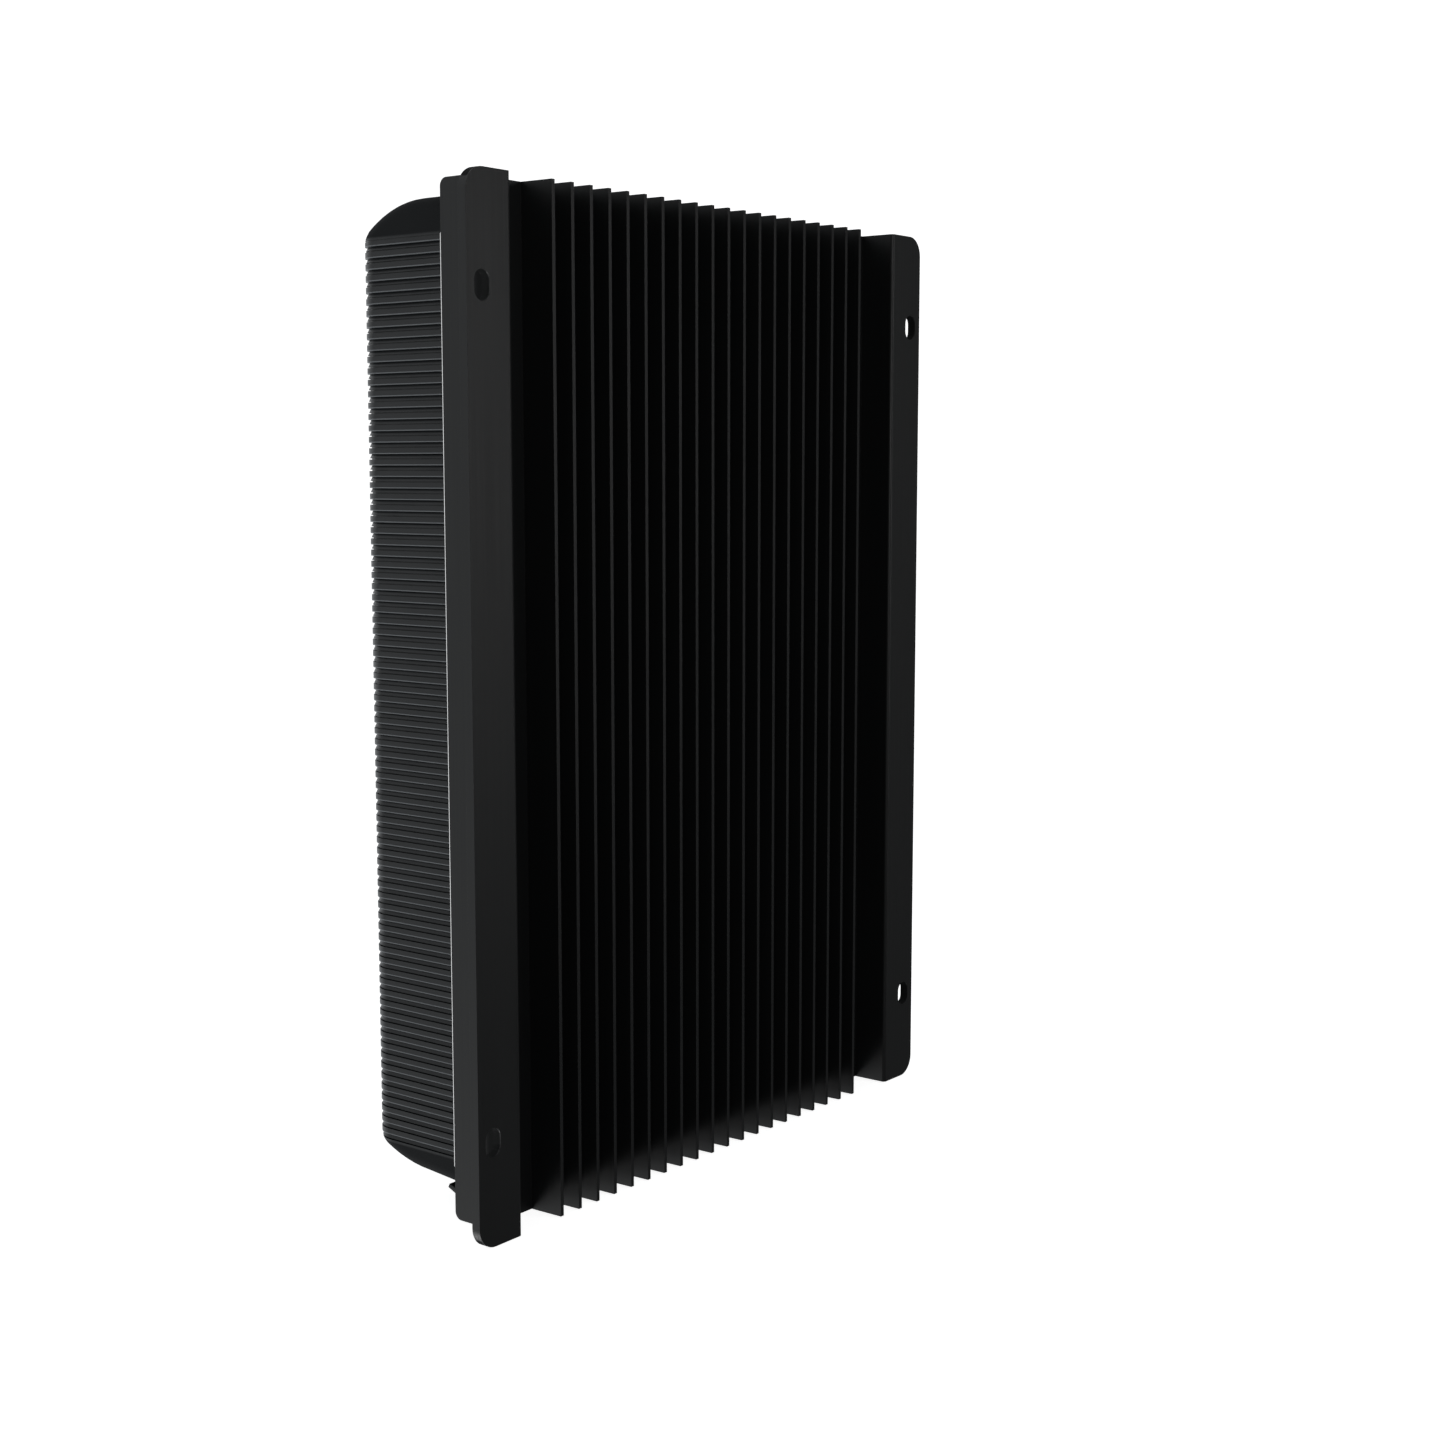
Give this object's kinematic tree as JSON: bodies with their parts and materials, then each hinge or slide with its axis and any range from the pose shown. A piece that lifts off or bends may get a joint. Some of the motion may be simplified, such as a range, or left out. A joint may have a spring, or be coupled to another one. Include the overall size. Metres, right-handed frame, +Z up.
{
  "type": "charge controller",
  "caption": "Wall-mounted solar charge controller: finned aluminium heat sink with slotted flanges, ribbed black front cover, display, keys and screw terminals.",
  "frame": {"origin": "on the wall plane, at the middle of the device's bottom edge", "axes": "+X across the device, to the right as seen from its front; +Y into the wall; +Z up"},
  "size_m": [0.192, 0.059, 0.255],
  "materials": {
    "black_anodised": "satin black anodised extrusion",
    "panel_aluminium": "black anodised sheet",
    "cover_plastic": "satin moulded, smooth ends",
    "panel_plastic": "fine-textured moulded",
    "seam_white": "white seam strip",
    "clear_lens": "clear polished plastic window",
    "lcd_green": "grey-green display glass",
    "bright_steel": "zinc plated",
    "black_screw": "black oxide",
    "backlight_white": "white diffuser",
    "board_green": "glass-epoxy board with solder mask",
    "black_moulding": "black component moulding",
    "lamp_clear": "clear light pipe",
    "chip_white": "white package",
    "key_plastic": "dark grey moulded",
    "brass": "machined",
    "ribbon_grey": "flat flexible lead",
    "pad_grey": "thermal pad",
    "ferrite": "coated powder core",
    "copper": "enamelled copper",
    "can_sleeve": "shrink sleeve",
    "fuse_body": "moulded blade fuse",
    "terminal_plastic": "glass-filled moulding",
    "gold_contact": "gold plated"
  },
  "bodies": {
    "housing": {"heatsink": "black_anodised", "top_panel": "panel_aluminium", "bottom_panel": "panel_aluminium", "end_panel_screws": "black_screw", "ground_screw": "bright_steel", "front_cover": "cover_plastic", "cover_screws": "black_screw", "seam_strip_right": "seam_white", "seam_strip_left": "seam_white", "terminal_cover": "cover_plastic", "terminal_cover_screws": "black_screw", "control_panel": "panel_plastic", "panel_screws": "bright_steel", "display_lens": "clear_lens", "lcd_glass": "lcd_green", "lcd_frame": "bright_steel", "lcd_backlight": "backlight_white", "lcd_legs": "black_moulding", "display_board": "board_green", "display_screws": "bright_steel", "indicator_lamps": "lamp_clear", "lamp_chips": "chip_white", "key_switches": "black_moulding", "ribbon_cable": "ribbon_grey", "ribbon_sockets": "chip_white", "main_board": "board_green", "standoffs": "brass", "board_screws": "bright_steel", "transistors": "black_moulding", "transistor_pads": "pad_grey", "inductor_cores": "ferrite", "inductor_windings": "copper", "input_capacitors": "can_sleeve", "output_capacitors": "can_sleeve", "controller_chips": "black_moulding", "current_shunt": "copper", "fuses": "fuse_body", "terminal_block": "terminal_plastic", "terminal_bars": "copper", "comms_jack": "black_moulding", "jack_contacts": "gold_contact", "sensor_socket": "terminal_plastic", "sensor_pins": "gold_contact"},
    "select_key": {"select_key": "key_plastic", "select_plunger": "key_plastic"},
    "enter_key": {"enter_key": "key_plastic", "enter_plunger": "key_plastic"},
    "clamp_cage_1": {"clamp_cage_1": "brass"},
    "clamp_screw_1": {"clamp_screw_1": "bright_steel"},
    "clamp_cage_2": {"clamp_cage_2": "brass"},
    "clamp_screw_2": {"clamp_screw_2": "bright_steel"},
    "clamp_cage_3": {"clamp_cage_3": "brass"},
    "clamp_screw_3": {"clamp_screw_3": "bright_steel"},
    "clamp_cage_4": {"clamp_cage_4": "brass"},
    "clamp_screw_4": {"clamp_screw_4": "bright_steel"},
    "clamp_cage_5": {"clamp_cage_5": "brass"},
    "clamp_screw_5": {"clamp_screw_5": "bright_steel"},
    "clamp_cage_6": {"clamp_cage_6": "brass"},
    "clamp_screw_6": {"clamp_screw_6": "bright_steel"}
  },
  "joints": [
    {"name": "select_press", "type": "slide", "parent": "housing", "child": "select_key", "axis": [0, 1, 0], "range_m": [0, 0.0006], "stiffness_N_per_m": 1500, "springref_m": -0.0005},
    {"name": "enter_press", "type": "slide", "parent": "housing", "child": "enter_key", "axis": [0, 1, 0], "range_m": [0, 0.0006], "stiffness_N_per_m": 1500, "springref_m": -0.0005},
    {"name": "clamp_turn_1", "type": "hinge", "parent": "housing", "child": "clamp_screw_1", "pos_m": [-0.0375, -0.045, 0.0205], "axis": [0, 1, 0], "range_deg": [0, 1800]},
    {"name": "clamp_rise_1", "type": "slide", "parent": "housing", "child": "clamp_cage_1", "axis": [0, -1, 0], "range_m": [0, 0.0035]},
    {"name": "clamp_turn_2", "type": "hinge", "parent": "housing", "child": "clamp_screw_2", "pos_m": [-0.0225, -0.045, 0.0205], "axis": [0, 1, 0], "range_deg": [0, 1800]},
    {"name": "clamp_rise_2", "type": "slide", "parent": "housing", "child": "clamp_cage_2", "axis": [0, -1, 0], "range_m": [0, 0.0035]},
    {"name": "clamp_turn_3", "type": "hinge", "parent": "housing", "child": "clamp_screw_3", "pos_m": [-0.0075, -0.045, 0.0205], "axis": [0, 1, 0], "range_deg": [0, 1800]},
    {"name": "clamp_rise_3", "type": "slide", "parent": "housing", "child": "clamp_cage_3", "axis": [0, -1, 0], "range_m": [0, 0.0035]},
    {"name": "clamp_turn_4", "type": "hinge", "parent": "housing", "child": "clamp_screw_4", "pos_m": [0.0075, -0.045, 0.0205], "axis": [0, 1, 0], "range_deg": [0, 1800]},
    {"name": "clamp_rise_4", "type": "slide", "parent": "housing", "child": "clamp_cage_4", "axis": [0, -1, 0], "range_m": [0, 0.0035]},
    {"name": "clamp_turn_5", "type": "hinge", "parent": "housing", "child": "clamp_screw_5", "pos_m": [0.0225, -0.045, 0.0205], "axis": [0, 1, 0], "range_deg": [0, 1800]},
    {"name": "clamp_rise_5", "type": "slide", "parent": "housing", "child": "clamp_cage_5", "axis": [0, -1, 0], "range_m": [0, 0.0035]},
    {"name": "clamp_turn_6", "type": "hinge", "parent": "housing", "child": "clamp_screw_6", "pos_m": [0.0375, -0.045, 0.0205], "axis": [0, 1, 0], "range_deg": [0, 1800]},
    {"name": "clamp_rise_6", "type": "slide", "parent": "housing", "child": "clamp_cage_6", "axis": [0, -1, 0], "range_m": [0, 0.0035]}
  ],
  "couplings": [
    {"joint": "clamp_turn_1", "follows": "clamp_rise_1", "rad_per_m": 8975.9},
    {"joint": "clamp_turn_2", "follows": "clamp_rise_2", "rad_per_m": 8975.9},
    {"joint": "clamp_turn_3", "follows": "clamp_rise_3", "rad_per_m": 8975.9},
    {"joint": "clamp_turn_4", "follows": "clamp_rise_4", "rad_per_m": 8975.9},
    {"joint": "clamp_turn_5", "follows": "clamp_rise_5", "rad_per_m": 8975.9},
    {"joint": "clamp_turn_6", "follows": "clamp_rise_6", "rad_per_m": 8975.9}
  ]
}
